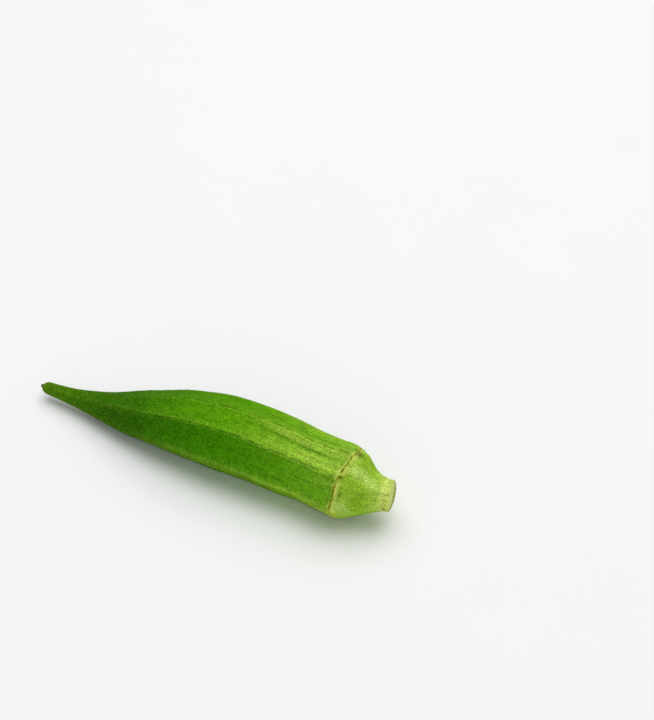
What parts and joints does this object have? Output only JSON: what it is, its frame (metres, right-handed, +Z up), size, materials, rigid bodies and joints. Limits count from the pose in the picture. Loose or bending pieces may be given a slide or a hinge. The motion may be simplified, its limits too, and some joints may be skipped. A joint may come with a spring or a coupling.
{
  "type": "okra pod",
  "caption": "Whole fresh okra pod, tapered and ribbed lengthwise, with a ring scar and a short cut stem, lying on its side.",
  "frame": {"origin": "middle of the footprint, on the surface that the pod lies on", "axes": "+X along the pod from its tip to its cut stem, +Y across it, +Z up from the surface"},
  "size_m": [0.1004, 0.0212, 0.0196],
  "materials": {
    "pod_skin": "fresh green skin, satin, with fine lengthwise veins and short pale hairs",
    "stem_cap_skin": "pale yellow-green stem tissue, matt and slightly downy, pale wet cut at the end"
  },
  "bodies": {
    "root": {"pod": "pod_skin", "stem_cap": "stem_cap_skin"}
  },
  "joints": []
}
